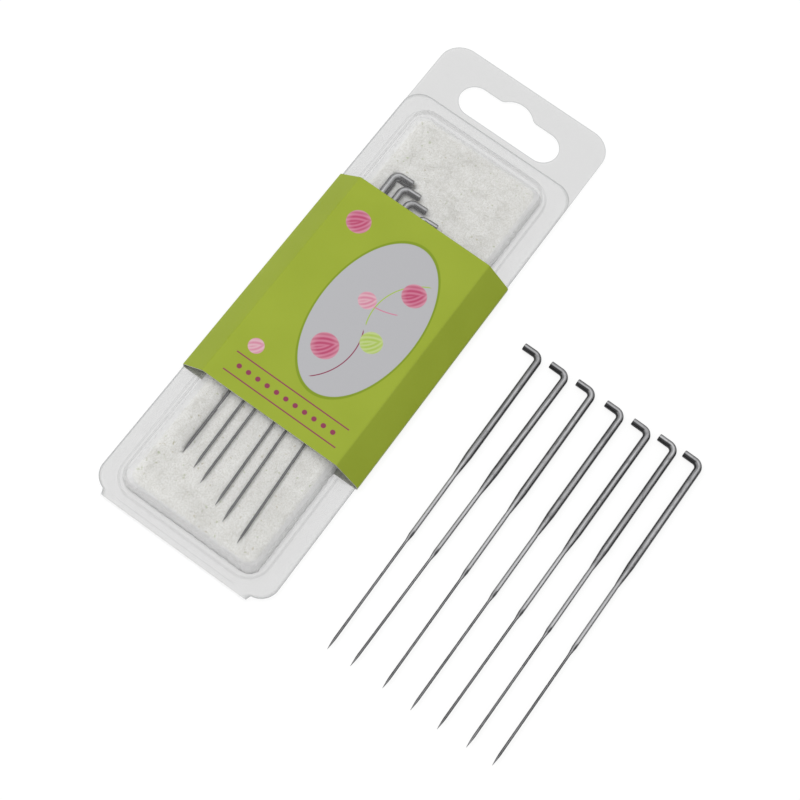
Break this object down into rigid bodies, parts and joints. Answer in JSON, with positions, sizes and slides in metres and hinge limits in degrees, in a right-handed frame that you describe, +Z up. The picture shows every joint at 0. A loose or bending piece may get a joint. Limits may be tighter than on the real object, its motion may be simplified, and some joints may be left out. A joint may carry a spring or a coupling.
{
  "type": "felting needle",
  "caption": "Felting needles with cranked shanks and barbed three-edged blades, loose in a row beside a clear folding hang pack with a fibre pad and a printed card sleeve.",
  "frame": {"origin": "centre of the whole set's footprint, on the surface that it lies on", "axes": "+Z up; +Y from the pack's fold to its hang tab, and from the needles' points to their cranks; +X from the pack to the loose needles"},
  "size_m": [0.11, 0.145, 0.0065],
  "materials": {
    "clear_plastic": "clear vacuum-formed sheet, glossy, about 0.35 mm thick",
    "printed_card": null,
    "fleece": "white nonwoven fibre pad with faint specks",
    "needle_steel": "drawn high-carbon steel wire, dark grey, polished, with swaged steps"
  },
  "bodies": {
    "pack": {"back_half": "clear_plastic", "front_half": "clear_plastic", "living_hinge": "clear_plastic", "pad": "fleece", "packed_needle_1": "needle_steel", "packed_needle_2": "needle_steel", "packed_needle_3": "needle_steel", "packed_needle_4": "needle_steel", "packed_needle_5": "needle_steel", "packed_needle_6": "needle_steel", "packed_needle_7": "needle_steel"},
    "sleeve": {"sleeve": "printed_card"},
    "loose_needle_1": {"loose_needle_1": "needle_steel"},
    "loose_needle_2": {"loose_needle_2": "needle_steel"},
    "loose_needle_3": {"loose_needle_3": "needle_steel"},
    "loose_needle_4": {"loose_needle_4": "needle_steel"},
    "loose_needle_5": {"loose_needle_5": "needle_steel"},
    "loose_needle_6": {"loose_needle_6": "needle_steel"},
    "loose_needle_7": {"loose_needle_7": "needle_steel"}
  },
  "joints": [
    {"name": "sleeve_slide", "type": "slide", "parent": "pack", "child": "sleeve", "axis": [0, 1, 0], "range_m": [-0.098, 0.111]},
    {"name": "loose_needle_1_lift", "type": "slide", "parent": "pack", "child": "loose_needle_1", "axis": [0, 0, 1], "range_m": [0, 0.05]},
    {"name": "loose_needle_2_lift", "type": "slide", "parent": "pack", "child": "loose_needle_2", "axis": [0, 0, 1], "range_m": [0, 0.05]},
    {"name": "loose_needle_3_lift", "type": "slide", "parent": "pack", "child": "loose_needle_3", "axis": [0, 0, 1], "range_m": [0, 0.05]},
    {"name": "loose_needle_4_lift", "type": "slide", "parent": "pack", "child": "loose_needle_4", "axis": [0, 0, 1], "range_m": [0, 0.05]},
    {"name": "loose_needle_5_lift", "type": "slide", "parent": "pack", "child": "loose_needle_5", "axis": [0, 0, 1], "range_m": [0, 0.05]},
    {"name": "loose_needle_6_lift", "type": "slide", "parent": "pack", "child": "loose_needle_6", "axis": [0, 0, 1], "range_m": [0, 0.05]},
    {"name": "loose_needle_7_lift", "type": "slide", "parent": "pack", "child": "loose_needle_7", "axis": [0, 0, 1], "range_m": [0, 0.05]}
  ]
}
